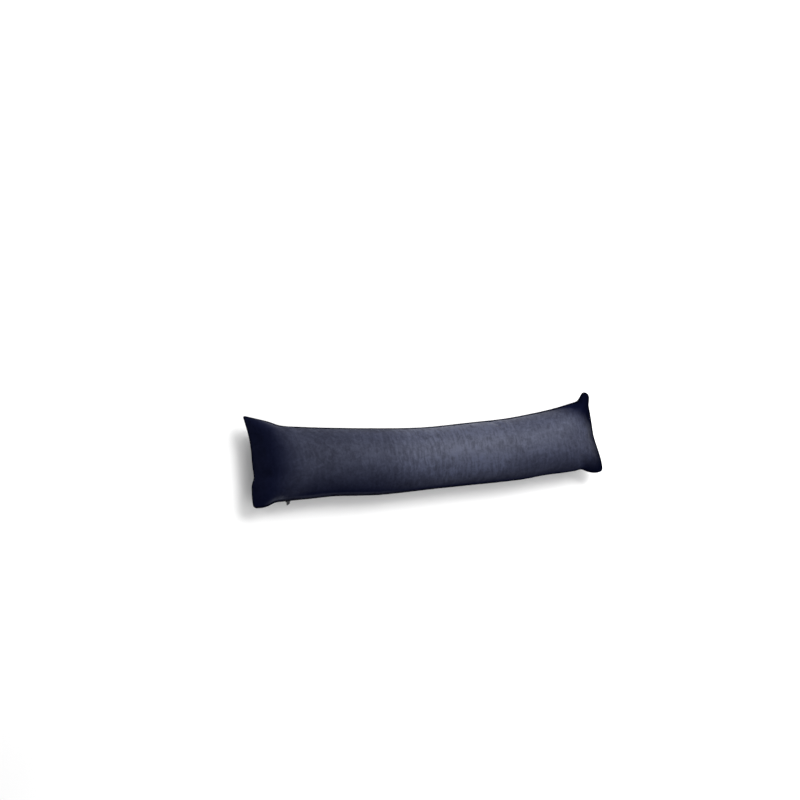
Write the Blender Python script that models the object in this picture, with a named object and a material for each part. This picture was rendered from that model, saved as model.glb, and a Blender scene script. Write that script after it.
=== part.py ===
"""Draught excluder: a long knife-edged velvet cushion with a zip let into its near long seam.

Two equal panels are sewn together along all four sides, turned and filled, so the body draws in
between four flat ears. The cushion lies on its rear panel. X runs along its length, Y across it
with the zip on the -Y side, and Z comes out of the front panel. All sizes are in metres.
"""

import math

import bmesh
import bpy
import numpy as np
from mathutils import Matrix, Vector

# The cover as cut, and how it lies when it is filled
COVER_LENGTH = 0.900
COVER_WIDTH = 0.220
SEAM_HEIGHT = 0.050
SEAM_LIP = 0.004
SEAM_THICKNESS = 0.0026
FLOOR_ROUNDING = 0.006
FLANK_POWER = 2.2
FOLD_ROOT = 0.008

# The net that carries the shape
FIRST_COLUMN = 0.005
WIDEST_COLUMN = 0.0145
COLUMN_GROWTH = 1.09
PANEL_ROWS = 22
CURVE_SAMPLES = 700
PLACKET_ROWS = 3
FOLD_TAPER = 0.7

# The zip: a coil chain in the seam, a slider on it and a pull that hangs from the slider
CLEARANCE = 0.0003
ZIP_LENGTH = 0.400
ZIP_START = -0.366
CHAIN_DEPTH = 0.0020
CHAIN_HEIGHT = 0.0046
CHAIN_CORNER = 0.0005
PLACKET_THICKNESS = 0.0062
PLACKET_RAMP = 0.018
SLIDER_LENGTH = 0.0120
SLIDER_DEPTH = 0.0024
SLIDER_HEIGHT = 0.0066
SLIDER_BEVEL = 0.0008
SLIDER_INSET = 0.002
BAIL_RADIUS = 0.0007
BAIL_STANDOFF = 0.0022
BAIL_LEG_SPACING = 0.0066
KNUCKLE_OUTER = 0.0019
KNUCKLE_WIDTH = 0.0050
PULL_LENGTH = 0.0150
PULL_TOP_WIDTH = 0.0080
PULL_TIP_WIDTH = 0.0036
PULL_THICKNESS = 0.0014
PULL_SHOULDER = 0.0042
PULL_NECK = 0.0011
PULL_DROP_ANGLE = math.radians(80)

# Far long seam, from its left ear to its right one, which is a narrow folded finger: x, y
FAR_SEAM = (
    (-0.4450, 0.1085),
    (-0.4200, 0.0995),
    (-0.3900, 0.0890),
    (-0.3600, 0.0765),
    (-0.3180, 0.0700),
    (-0.2320, 0.0603),
    (-0.1440, 0.0521),
    (-0.0540, 0.0452),
    (0.0060, 0.0432),
    (0.1000, 0.0452),
    (0.1960, 0.0473),
    (0.2630, 0.0530),
    (0.3300, 0.0613),
    (0.3820, 0.0711),
    (0.4065, 0.0758),
    (0.4175, 0.0850),
    (0.4275, 0.0950),
    (0.4380, 0.0965),
)

# Near long seam, from its square left ear to its rounded right one: x, y
NEAR_SEAM = (
    (-0.4430, -0.1085),
    (-0.4240, -0.1095),
    (-0.4100, -0.1070),
    (-0.3950, -0.1015),
    (-0.3800, -0.1002),
    (-0.3100, -0.1005),
    (-0.2520, -0.1004),
    (-0.1950, -0.1048),
    (-0.1370, -0.1084),
    (0.0000, -0.1076),
    (0.1230, -0.1080),
    (0.2190, -0.1074),
    (0.2850, -0.1025),
    (0.3340, -0.1015),
    (0.3670, -0.1000),
    (0.3840, -0.0980),
    (0.4000, -0.1045),
    (0.4160, -0.1092),
    (0.4340, -0.1100),
)

# Left end seam, near ear to far ear, with the pucker that lets the near ear out: x, y
LEFT_SEAM = (
    (-0.4430, -0.1085),
    (-0.4447, -0.0940),
    (-0.4442, -0.0720),
    (-0.4420, -0.0550),
    (-0.4365, -0.0410),
    (-0.4358, -0.0280),
    (-0.4364, -0.0100),
    (-0.4352, 0.0270),
    (-0.4368, 0.0560),
    (-0.4405, 0.0820),
    (-0.4450, 0.1085),
)

# Right end seam, near ear to far ear: x, y
RIGHT_SEAM = (
    (0.4340, -0.1100),
    (0.4438, -0.1035),
    (0.4452, -0.0860),
    (0.4425, -0.0640),
    (0.4385, -0.0430),
    (0.4346, -0.0150),
    (0.4352, 0.0200),
    (0.4358, 0.0460),
    (0.4360, 0.0620),
    (0.4395, 0.0745),
    (0.4415, 0.0860),
    (0.4380, 0.0965),
)

# Sections: distance from the end seam, crown above the seam and depth below it as shares of the
# panel's width, fullness of the flank
SECTIONS = (
    (0.000, 0.000, 0.000, 0.34),
    (0.006, 0.041, 0.050, 0.34),
    (0.015, 0.082, 0.095, 0.35),
    (0.030, 0.139, 0.159, 0.37),
    (0.045, 0.180, 0.200, 0.40),
    (0.060, 0.207, 0.227, 0.43),
    (0.090, 0.236, 0.268, 0.50),
    (0.150, 0.261, 0.309, 0.56),
    (0.250, 0.286, 0.336, 0.60),
    (0.445, 0.300, 0.341, 0.60),
)

# Folds of the front panel: start x, start y, end x, end y, half width, height (below 0 it is a trough)
FRONT_FOLDS = (
    (-0.432, 0.098, -0.372, 0.056, 0.011, 0.0036),
    (-0.402, 0.088, -0.350, 0.062, 0.008, -0.0033),
    (-0.372, 0.078, -0.330, 0.058, 0.008, 0.0027),
    (-0.430, -0.098, -0.378, -0.060, 0.012, 0.0033),
    (-0.394, -0.098, -0.362, -0.080, 0.007, -0.0036),
    (-0.436, -0.041, -0.400, -0.034, 0.008, -0.0042),
    (-0.440, -0.062, -0.404, -0.052, 0.009, 0.0033),
    (-0.434, 0.012, -0.408, 0.012, 0.008, -0.0030),
    (-0.436, 0.050, -0.410, 0.044, 0.008, -0.0033),
    (-0.070, 0.040, -0.032, 0.004, 0.010, -0.0027),
    (-0.040, 0.040, -0.008, 0.008, 0.009, 0.0024),
    (0.152, 0.044, 0.178, 0.020, 0.007, -0.0045),
    (0.172, 0.042, 0.200, 0.010, 0.009, 0.0027),
    (0.002, -0.078, -0.008, -0.102, 0.006, 0.0021),
    (0.008, -0.074, 0.036, -0.096, 0.006, 0.0021),
    (0.430, 0.085, 0.385, 0.045, 0.010, 0.0036),
    (0.412, 0.070, 0.372, 0.056, 0.007, -0.0036),
    (0.435, 0.030, 0.408, 0.026, 0.008, -0.0027),
    (0.435, -0.024, 0.406, -0.020, 0.009, -0.0030),
    (0.436, -0.098, 0.384, -0.060, 0.012, 0.0033),
    (0.384, -0.096, 0.372, -0.066, 0.008, -0.0042),
)

# Folds of the rear panel, which show only outside the patch that it lies on: same columns
REAR_FOLDS = (
    (-0.432, 0.098, -0.380, 0.056, 0.012, -0.0036),
    (-0.400, 0.086, -0.360, 0.060, 0.008, 0.0030),
    (-0.432, -0.096, -0.384, -0.060, 0.012, -0.0036),
    (-0.436, 0.010, -0.412, 0.008, 0.008, 0.0030),
    (0.430, 0.085, 0.388, 0.045, 0.011, -0.0036),
    (0.436, -0.096, 0.388, -0.060, 0.012, -0.0036),
    (0.435, -0.010, 0.410, -0.010, 0.008, 0.0030),
)

VELVET = ("velvet", (0.018, 0.021, 0.042, 1.0), 0.75, 0.0)
COIL = ("zip_coil", (0.010, 0.012, 0.026, 1.0), 0.45, 0.0)
SLIDER = ("zip_metal", (0.020, 0.022, 0.034, 1.0), 0.40, 0.6)


def clear_scene():
    for old in list(bpy.data.objects):
        bpy.data.objects.remove(old)


def material(name, colour, roughness, metallic):
    made = bpy.data.materials.new(name)
    made.use_nodes = True
    shader = made.node_tree.nodes["Principled BSDF"]
    shader.inputs["Base Color"].default_value = colour
    shader.inputs["Roughness"].default_value = roughness
    shader.inputs["Metallic"].default_value = metallic
    return made


def add_object(name, mesh, finish):
    piece = bpy.data.objects.new(name, mesh)
    piece.data.materials.append(finish)
    bpy.context.scene.collection.objects.link(piece)
    return piece


def slopes(knots, values):
    """Tangents of a smooth curve through the points, each from the chord of its neighbours."""
    inner = (values[2:] - values[:-2]) / (knots[2:] - knots[:-2])[:, None]
    first = (values[1] - values[0]) / (knots[1] - knots[0])
    last = (values[-1] - values[-2]) / (knots[-1] - knots[-2])
    return np.vstack([first, inner, last])


def hermite(knots, values, tangents, at):
    """The smooth curve's points at the given places along it."""
    place = np.clip(np.searchsorted(knots, at, side="right") - 1, 0, len(knots) - 2)
    step = (knots[place + 1] - knots[place])[:, None]
    t = (at - knots[place])[:, None] / step
    start = (1 + 2 * t) * (1 - t) ** 2 * values[place] + t * (1 - t) ** 2 * step * tangents[place]
    end = t**2 * (3 - 2 * t) * values[place + 1] + t**2 * (t - 1) * step * tangents[place + 1]
    return start + end


def along_curve(points, shares):
    """Points at these shares of the length of the smooth curve through a short table."""
    points = np.array(points)
    knots = np.concatenate([[0.0], np.cumsum(np.linalg.norm(np.diff(points, axis=0), axis=1))])
    tangents = slopes(knots, points)
    fine = np.linspace(0.0, knots[-1], CURVE_SAMPLES)
    dense = hermite(knots, points, tangents, fine)
    run = np.concatenate([[0.0], np.cumsum(np.linalg.norm(np.diff(dense, axis=0), axis=1))])
    at = np.interp(np.asarray(shares) * run[-1], run, fine)
    return hermite(knots, points, tangents, at)


def from_table(table, column, at):
    """A column of a table against its first one, as a smooth curve."""
    table = np.array(table)
    values = table[:, column : column + 1]
    at = np.clip(np.ravel(at), table[0, 0], table[-1, 0])
    return hermite(table[:, 0], values, slopes(table[:, 0], values), at)[:, 0]


def seam_centre():
    """The middle of the outline's bounding box, which becomes the origin."""
    shares = np.linspace(0.0, 1.0, CURVE_SAMPLES)
    outline = np.vstack([along_curve(seam, shares) for seam in (FAR_SEAM, NEAR_SEAM, LEFT_SEAM, RIGHT_SEAM)])
    return (outline.min(axis=0) + outline.max(axis=0)) / 2


CENTRE = seam_centre()


def column_shares():
    """Where the net's columns stand along the length: the lip, then close at the ends and wide between."""
    distances = [0.0, SEAM_LIP]
    step = FIRST_COLUMN
    while distances[-1] + step < COVER_LENGTH / 2:
        distances.append(distances[-1] + step)
        step = min(step * COLUMN_GROWTH, WIDEST_COLUMN)
    scale = (COVER_LENGTH / 2 - SEAM_LIP) / (distances[-1] - SEAM_LIP)
    half = [SEAM_LIP + (d - SEAM_LIP) * scale if d > SEAM_LIP else d for d in distances]
    left = np.array(half) / COVER_LENGTH
    return np.concatenate([left, 1.0 - left[-2::-1]])


def row_places(chord):
    """Where the net's rows stand across a chord: share of the chord, and -1 to 1 between the lips."""
    across = -np.cos(np.linspace(0.0, math.pi, PANEL_ROWS + 1))
    lip = SEAM_LIP / chord
    shares = lip + (1.0 - 2.0 * lip) * (across + 1.0) / 2.0
    return np.concatenate([[0.0], shares, [1.0]]), np.concatenate([[-1.0], across, [1.0]])


def placket(x):
    """1 along the zip and a column past its ends, then down to 0 in a short ramp."""
    past_start = ZIP_START - WIDEST_COLUMN - x
    past_end = x - (ZIP_START + ZIP_LENGTH + WIDEST_COLUMN)
    t = np.clip(1.0 - np.maximum(past_start, past_end) / PLACKET_RAMP, 0.0, 1.0)
    return t * t * (3.0 - 2.0 * t)


def plan_net():
    """The net in plan, blended from the four seams, with each point's place across its chord."""
    u = column_shares()
    far = along_curve(FAR_SEAM, u) - CENTRE
    near = along_curve(NEAR_SEAM, u) - CENTRE
    near[:, 1] += placket(near[:, 0]) * (CHAIN_DEPTH + CLEARANCE)
    net, places = [], []
    for k, share in enumerate(u):
        v, across = row_places(np.linalg.norm(far[k] - near[k]))
        left = along_curve(LEFT_SEAM, v) - CENTRE
        right = along_curve(RIGHT_SEAM, v) - CENTRE
        ruled = np.outer(1 - v, near[k]) + np.outer(v, far[k])
        ends = (1 - share) * left + share * right
        near_corners = (1 - share) * near[0] + share * near[-1]
        far_corners = (1 - share) * far[0] + share * far[-1]
        net.append(ruled + ends - np.outer(1 - v, near_corners) - np.outer(v, far_corners))
        places.append(across)
    return u, np.array(net), np.array(places)


def fold_heights(points, folds):
    """How far the folds lift or sink each point of a panel."""
    lift = np.zeros(points.shape[:-1])
    for start_x, start_y, end_x, end_y, half_width, height in folds:
        start = np.array([start_x, start_y]) - CENTRE
        run = np.array([end_x, end_y]) - CENTRE - start
        length = np.linalg.norm(run)
        run = run / length
        away = points - start
        forward = away @ run / length
        aside = np.abs(away @ np.array([-run[1], run[0]]))
        taper = np.clip(1.0 - (2.0 * forward - 1.0) ** 2, 0.0, 1.0) ** FOLD_TAPER
        ridge = np.where(aside < 2 * half_width, np.cos(aside * math.pi / (4 * half_width)) ** 2, 0.0)
        lift += height * taper * ridge
    return lift


def above_floor(height):
    """Heights with all that would pass through the floor pressed flat on it, with a soft edge."""
    soft = (height + FLOOR_ROUNDING) ** 2 / (4.0 * FLOOR_ROUNDING)
    return np.where(height <= -FLOOR_ROUNDING, 0.0, np.where(height >= FLOOR_ROUNDING, height, soft))


def panel_heights():
    """The net's plan with the front panel's heights and the rear panel's."""
    u, net, across = plan_net()
    from_end = np.minimum(u, 1.0 - u) * COVER_LENGTH - SEAM_LIP
    crown = COVER_WIDTH * from_table(SECTIONS, 1, from_end)[:, None]
    depth = COVER_WIDTH * from_table(SECTIONS, 2, from_end)[:, None]
    fullness = from_table(SECTIONS, 3, from_end)[:, None]
    bulge = np.maximum(1.0 - np.abs(across) ** FLANK_POWER, 0.0) ** fullness
    half_lip = SEAM_THICKNESS / 2
    rows_in = np.arange(net.shape[1]) / PLACKET_ROWS
    swell = placket(net[:, 0, 0])[:, None] * np.clip(1.0 - rows_in**2, 0.0, 1.0)
    half_lip = half_lip + swell * (PLACKET_THICKNESS - SEAM_THICKNESS) / 2
    free = np.minimum(bulge * 2.0, 1.0) * np.clip(from_end / FOLD_ROOT, 0.0, 1.0)[:, None]
    front = SEAM_HEIGHT + half_lip + crown * bulge + free * fold_heights(net, FRONT_FOLDS)
    rear = SEAM_HEIGHT - half_lip - depth * bulge + free * fold_heights(net, REAR_FOLDS)
    return net, np.maximum(front, rear + SEAM_THICKNESS), above_floor(rear)


def make_cushion(finish):
    """One filled solid: front panel, rear panel and the edge of the seam between them."""
    net, front, rear = panel_heights()
    columns, rows = front.shape
    shape = bmesh.new()
    sheets = []
    for heights in (front, rear):
        sheet = []
        for plan, column_heights in zip(net, heights):
            sheet.append([shape.verts.new((x, y, z)) for (x, y), z in zip(plan, column_heights)])
        sheets.append(sheet)
    top, bottom = sheets
    for i in range(columns - 1):
        for j in range(rows - 1):
            shape.faces.new((top[i][j], top[i + 1][j], top[i + 1][j + 1], top[i][j + 1]))
            shape.faces.new((bottom[i][j], bottom[i][j + 1], bottom[i + 1][j + 1], bottom[i + 1][j]))
    rim = [(i, 0) for i in range(columns)] + [(columns - 1, j) for j in range(1, rows)]
    rim += [(i, rows - 1) for i in range(columns - 2, -1, -1)] + [(0, j) for j in range(rows - 2, 0, -1)]
    for (a, b), (c, d) in zip(rim, rim[1:] + rim[:1]):
        shape.faces.new((top[a][b], bottom[a][b], bottom[c][d], top[c][d]))
    bmesh.ops.triangulate(shape, faces=shape.faces)
    mesh = bpy.data.meshes.new("cushion")
    shape.to_mesh(mesh)
    shape.free()
    mesh.shade_smooth()
    mesh.set_sharp_from_angle(angle=math.radians(50))
    return add_object("cushion", mesh, finish)


def near_columns():
    """The near seam's points at the net's columns."""
    return along_curve(NEAR_SEAM, column_shares()) - CENTRE


def seam_frame(x):
    """A frame on the near seam at x: its X runs along the seam and its Y points into the cushion."""
    seam = near_columns()
    before, here, after = np.interp([x - SEAM_LIP, x, x + SEAM_LIP], seam[:, 0], seam[:, 1])
    along = Vector((2 * SEAM_LIP, after - before, 0.0)).normalized()
    up = Vector((0.0, 0.0, 1.0))
    turn = Matrix((along, up.cross(along), up)).transposed().to_4x4()
    return Matrix.Translation((x, here, SEAM_HEIGHT)) @ turn


def chain_stations():
    """Where the chain's sections stand: at its two ends and at the net's columns between them."""
    end = ZIP_START + ZIP_LENGTH
    columns = near_columns()[:, 0]
    return [ZIP_START, *columns[(columns > ZIP_START) & (columns < end)], end]


def make_zip_chain(finish):
    """The closed coil chain, a flat bar that follows the seam and fills the slit of the placket."""
    half = CHAIN_HEIGHT / 2
    section = (
        (0.0, CHAIN_CORNER - half),
        (CHAIN_CORNER, -half),
        (CHAIN_DEPTH - CHAIN_CORNER, -half),
        (CHAIN_DEPTH, CHAIN_CORNER - half),
        (CHAIN_DEPTH, half - CHAIN_CORNER),
        (CHAIN_DEPTH - CHAIN_CORNER, half),
        (CHAIN_CORNER, half),
        (0.0, half - CHAIN_CORNER),
    )
    shape = bmesh.new()
    loops = []
    for x in chain_stations():
        frame = seam_frame(x)
        loops.append([shape.verts.new(frame @ Vector((0.0, y, z))) for y, z in section])
    for first, second in zip(loops, loops[1:]):
        for k in range(len(section)):
            after = (k + 1) % len(section)
            shape.faces.new((first[k], first[after], second[after], second[k]))
    shape.faces.new(loops[0])
    shape.faces.new(loops[-1])
    bmesh.ops.recalc_face_normals(shape, faces=shape.faces)
    mesh = bpy.data.meshes.new("zip_chain")
    shape.to_mesh(mesh)
    shape.free()
    return add_object("zip_chain", mesh, finish)


def box(shape, size, centre):
    made = bmesh.ops.create_cube(shape, size=1.0)["verts"]
    bmesh.ops.scale(shape, vec=size, verts=made)
    bmesh.ops.translate(shape, vec=centre, verts=made)
    return made


def rod(shape, radius, length, centre, sides=16):
    """A round bar along X."""
    made = bmesh.ops.create_cone(
        shape, cap_ends=True, segments=sides, radius1=radius, radius2=radius, depth=length
    )["verts"]
    bmesh.ops.rotate(shape, cent=(0, 0, 0), matrix=Matrix.Rotation(math.pi / 2, 3, "Y"), verts=made)
    bmesh.ops.translate(shape, vec=centre, verts=made)


def solid(name, build):
    """A mesh object made by one function that fills an empty shape."""
    shape = bmesh.new()
    build(shape)
    bmesh.ops.recalc_face_normals(shape, faces=shape.faces)
    mesh = bpy.data.meshes.new(name)
    shape.to_mesh(mesh)
    shape.free()
    piece = bpy.data.objects.new(name, mesh)
    bpy.context.scene.collection.objects.link(piece)
    return piece


def combine(piece, other, operation):
    """Joins another object to this one, or cuts it out, and keeps it as a hidden helper."""
    other.hide_render = True
    other.display_type = "WIRE"
    step = piece.modifiers.new(operation.lower(), "BOOLEAN")
    step.operation = operation
    step.solver = "EXACT"
    step.object = other


def slider_place():
    return seam_frame(ZIP_START + SLIDER_INSET)


def make_zip_slider(finish):
    """The slider's body on the chain's outer face, with a bail whose bar the pull turns on."""
    body_y = -CLEARANCE - SLIDER_DEPTH / 2
    bail_y = -CLEARANCE - SLIDER_DEPTH - BAIL_STANDOFF
    body_size = (SLIDER_LENGTH, SLIDER_DEPTH, SLIDER_HEIGHT)
    slider = solid("zip_slider", lambda shape: box(shape, body_size, (0, body_y, 0)))
    slider.data.materials.append(finish)
    edge = slider.modifiers.new("rounded edges", "BEVEL")
    edge.width = SLIDER_BEVEL
    edge.segments = 3
    bar_length = BAIL_LEG_SPACING + 2 * BAIL_RADIUS
    bar = solid("bail_bar", lambda shape: rod(shape, BAIL_RADIUS, bar_length, (0, bail_y, 0)))
    combine(slider, bar, "UNION")
    leg_size = (2 * BAIL_RADIUS, BAIL_STANDOFF + SLIDER_DEPTH / 2, 2.2 * BAIL_RADIUS)
    leg_y = bail_y + leg_size[1] / 2
    for name, side in (("bail_leg_left", -1), ("bail_leg_right", 1)):
        place = (side * BAIL_LEG_SPACING / 2, leg_y, 0)
        leg = solid(name, lambda shape, at=place: box(shape, leg_size, at))
        combine(slider, leg, "UNION")
        leg.matrix_world = slider_place()
    bar.matrix_world = slider_place()
    slider.matrix_world = slider_place()
    return slider


def pull_plate(shape):
    """The tapered plate of the pull, hanging in -Z from the bail's bar."""
    half_top = PULL_TOP_WIDTH / 2
    half_neck = KNUCKLE_WIDTH / 2
    tip = PULL_TIP_WIDTH / 2
    outline = [(-half_top, -KNUCKLE_OUTER), (-half_top, -PULL_SHOULDER)]
    for k in range(9):
        angle = math.pi + math.pi * k / 8
        outline.append((tip * math.cos(angle), tip * math.sin(angle) + tip - PULL_LENGTH))
    outline += [(half_top, -PULL_SHOULDER), (half_top, -KNUCKLE_OUTER)]
    outline += [(half_neck, -PULL_NECK), (-half_neck, -PULL_NECK)]
    front = [shape.verts.new((x, -PULL_THICKNESS / 2, z)) for x, z in outline]
    back = [shape.verts.new((x, PULL_THICKNESS / 2, z)) for x, z in outline]
    shape.faces.new(front)
    shape.faces.new(back[::-1])
    for k in range(len(outline)):
        after = (k + 1) % len(outline)
        shape.faces.new((front[k], back[k], back[after], front[after]))


def make_zip_pull(finish):
    """The pull: a tapered plate under a knuckle that goes round the bail's bar."""
    plate = solid("zip_pull", pull_plate)
    plate.data.materials.append(finish)
    bore_radius = BAIL_RADIUS + CLEARANCE
    knuckle = solid("pull_knuckle", lambda shape: rod(shape, KNUCKLE_OUTER, KNUCKLE_WIDTH, (0, 0, 0), 24))
    bore = solid("pull_bore", lambda shape: rod(shape, bore_radius, 2 * KNUCKLE_WIDTH, (0, 0, 0), 24))
    combine(plate, knuckle, "UNION")
    combine(plate, bore, "DIFFERENCE")
    bail_y = -CLEARANCE - SLIDER_DEPTH - BAIL_STANDOFF
    lean = Matrix.Rotation(-(math.pi / 2 - PULL_DROP_ANGLE), 4, "X")
    place = slider_place() @ Matrix.Translation((0, bail_y, 0)) @ lean
    for piece in (plate, knuckle, bore):
        piece.matrix_world = place
    return plate


def main():
    clear_scene()
    make_cushion(material(*VELVET))
    make_zip_chain(material(*COIL))
    metal = material(*SLIDER)
    make_zip_slider(metal)
    make_zip_pull(metal)


main()
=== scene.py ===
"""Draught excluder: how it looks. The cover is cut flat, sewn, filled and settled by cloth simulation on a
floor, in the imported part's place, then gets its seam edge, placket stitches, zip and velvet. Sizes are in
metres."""

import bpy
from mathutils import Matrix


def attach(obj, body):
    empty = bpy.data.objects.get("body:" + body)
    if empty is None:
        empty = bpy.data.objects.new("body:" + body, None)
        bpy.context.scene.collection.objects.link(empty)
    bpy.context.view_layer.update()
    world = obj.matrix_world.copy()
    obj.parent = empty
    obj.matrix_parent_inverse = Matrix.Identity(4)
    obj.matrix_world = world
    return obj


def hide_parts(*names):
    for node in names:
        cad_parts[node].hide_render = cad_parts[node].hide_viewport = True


bl_info = {
    "name": "Draught Excluder",
    "version": (1, 0, 0),
    "blender": (4, 5, 0),
    "location": "View3D > Sidebar > Draught",
    "description": "Sews, fills and finishes a velvet draught excluder with a zip in its near seam",
    "category": "Add Mesh",
}

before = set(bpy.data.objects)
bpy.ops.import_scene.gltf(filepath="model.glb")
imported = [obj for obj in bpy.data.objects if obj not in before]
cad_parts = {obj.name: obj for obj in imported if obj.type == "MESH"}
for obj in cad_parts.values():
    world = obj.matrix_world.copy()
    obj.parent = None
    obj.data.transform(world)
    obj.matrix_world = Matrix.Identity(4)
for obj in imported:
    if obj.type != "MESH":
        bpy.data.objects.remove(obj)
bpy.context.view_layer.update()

import math

import bmesh
import bpy
import numpy as np
from bpy.props import FloatProperty, FloatVectorProperty, IntProperty, PointerProperty
from mathutils import Matrix, Vector

BODY = "root"
WHITE = (1.0, 1.0, 1.0, 1.0)

# Far long seam, from its left ear to its right one, which is a narrow folded finger: x, y
FAR_SEAM = (
    (-0.4450, 0.1085), (-0.4200, 0.0995), (-0.3900, 0.0890), (-0.3600, 0.0765), (-0.3180, 0.0700),
    (-0.2320, 0.0603), (-0.1440, 0.0521), (-0.0540, 0.0452), (0.0060, 0.0432), (0.1000, 0.0452),
    (0.1960, 0.0473), (0.2630, 0.0530), (0.3300, 0.0613), (0.3820, 0.0711), (0.4045, 0.0765),
    (0.4142, 0.0860), (0.4248, 0.0968), (0.4385, 0.0975),
)

# Near long seam, from its square left ear to its rounded right one: x, y
NEAR_SEAM = (
    (-0.4430, -0.1085), (-0.4240, -0.1095), (-0.4100, -0.1070), (-0.3950, -0.1015), (-0.3800, -0.1002),
    (-0.3100, -0.1005), (-0.2520, -0.1004), (-0.1950, -0.1048), (-0.1370, -0.1084), (0.0000, -0.1076),
    (0.1230, -0.1080), (0.2190, -0.1074), (0.2850, -0.1025), (0.3340, -0.1015), (0.3670, -0.1000),
    (0.3840, -0.0980), (0.4000, -0.1045), (0.4160, -0.1092), (0.4340, -0.1100),
)

# Left end seam, near ear to far ear, with the pucker that lets the near ear out: x, y
LEFT_SEAM = (
    (-0.4430, -0.1085), (-0.4447, -0.0940), (-0.4442, -0.0720), (-0.4420, -0.0550), (-0.4365, -0.0410),
    (-0.4358, -0.0280), (-0.4364, -0.0100), (-0.4352, 0.0270), (-0.4368, 0.0560), (-0.4405, 0.0820),
    (-0.4450, 0.1085),
)

# Right end seam, near ear to far ear: x, y
RIGHT_SEAM = (
    (0.4340, -0.1100), (0.4438, -0.1035), (0.4452, -0.0860), (0.4425, -0.0640), (0.4385, -0.0430),
    (0.4346, -0.0150), (0.4352, 0.0200), (0.4358, 0.0460), (0.4360, 0.0620), (0.4395, 0.0745),
    (0.4418, 0.0860), (0.4385, 0.0975),
)

# Seam folds and dents of the front panel: start x, y, end x, y, half width, height
FRONT_FOLDS = (
    (-0.432, 0.098, -0.372, 0.056, 0.011, 0.0036),
    (-0.402, 0.088, -0.350, 0.062, 0.008, -0.0033),
    (-0.372, 0.078, -0.330, 0.058, 0.008, 0.0027),
    (-0.430, -0.098, -0.378, -0.060, 0.012, 0.0033),
    (-0.394, -0.098, -0.362, -0.080, 0.007, -0.0036),
    (-0.436, -0.041, -0.400, -0.034, 0.008, -0.0042),
    (-0.440, -0.062, -0.404, -0.052, 0.009, 0.0020),
    (-0.434, 0.012, -0.408, 0.012, 0.008, -0.0030),
    (-0.436, 0.050, -0.410, 0.044, 0.008, -0.0033),
    (-0.070, 0.040, -0.032, 0.004, 0.010, -0.0012),
    (-0.040, 0.040, -0.008, 0.008, 0.009, 0.0011),
    (0.152, 0.044, 0.178, 0.020, 0.005, -0.0026),
    (0.172, 0.042, 0.200, 0.010, 0.007, 0.0014),
    (0.002, -0.078, -0.008, -0.102, 0.004, 0.0012),
    (0.008, -0.074, 0.036, -0.096, 0.004, 0.0012),
    (-0.392, -0.098, -0.376, -0.078, 0.0030, 0.0024),
    (-0.381, -0.098, -0.367, -0.081, 0.0030, 0.0022),
    (-0.362, -0.088, -0.255, -0.094, 0.0032, -0.0016),
    (0.430, 0.085, 0.385, 0.045, 0.010, 0.0036),
    (0.412, 0.070, 0.372, 0.056, 0.007, -0.0036),
    (0.435, 0.030, 0.408, 0.026, 0.008, -0.0027),
    (0.435, -0.024, 0.406, -0.020, 0.009, -0.0030),
    (0.436, -0.098, 0.384, -0.060, 0.012, 0.0033),
    (0.384, -0.096, 0.372, -0.066, 0.008, -0.0042),
)

# Folds of the rear panel: same columns
REAR_FOLDS = (
    (-0.432, 0.098, -0.380, 0.056, 0.012, 0.0036),
    (-0.400, 0.086, -0.360, 0.060, 0.008, -0.0030),
    (-0.432, -0.096, -0.384, -0.060, 0.012, 0.0036),
    (-0.436, 0.010, -0.412, 0.008, 0.008, -0.0030),
    (0.430, 0.085, 0.388, 0.045, 0.011, 0.0036),
    (0.436, -0.096, 0.388, -0.060, 0.012, 0.0036),
    (0.435, -0.010, 0.410, -0.010, 0.008, -0.0030),
)

# How the cover settles as cloth
CLOTH = {
    "quality": 6,
    "mass": 0.02,
    "tension_stiffness": 15,
    "compression_stiffness": 15,
    "shear_stiffness": 8,
    "bending_stiffness": 0.4,
    "use_pressure": True,
    "air_damping": 2.0,
}

# How near the cloth comes to the floor, how low it may start, and how far a point of it may travel
FLOOR_GAP = 0.002
LEAST_HEIGHT = 0.0005
MOST_TRAVEL = 0.05

# The pressed edge: places in from the seam, and what its half thickness gains there, shut and open
EDGE_PLACES = (0.0, 0.0003, 0.0011, 0.0026, 0.004, 0.009)
CLOSED_EDGE = (-0.00075, -0.00035, 0.00005, 0.0001, 0.0, 0.0)
OPEN_EDGE = (-0.00035, -0.00015, 0.0, 0.0001, -0.0002)
EDGE_ROOT = 0.004

# The finished net's lines over the pressed edge, in steps of the settled net
EDGE_STEPS = (0.0, 0.075, 0.275, 0.65)

# The UV map in metres of cut cloth: the front panel's middle, how far on the rear panel lies, and
# how far out of its panel each ring of the rim lies
FRONT_MIDDLE = (0.5, 0.2)
REAR_SHIFT = 0.35
BAND_DEPTHS = (0.0006, 0.0006, 0.0012, 0.0012, 0.0018)

# The zip: its tape and threads in from the seam's line, the steps it is swept in, where its slider
# stands on it, and how far out the pull hangs and how it leans
TAPE_BACK = 0.0021
TAPE_FRONT = 0.00165
THREAD_ROW = 0.00135
THREAD_RADIUS = 0.00017
STATION_STEP = 0.0025
SLIDER_IN = 0.002
BAIL_OUT = 0.0049
PULL_LEAN = math.radians(10.0)
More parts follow.
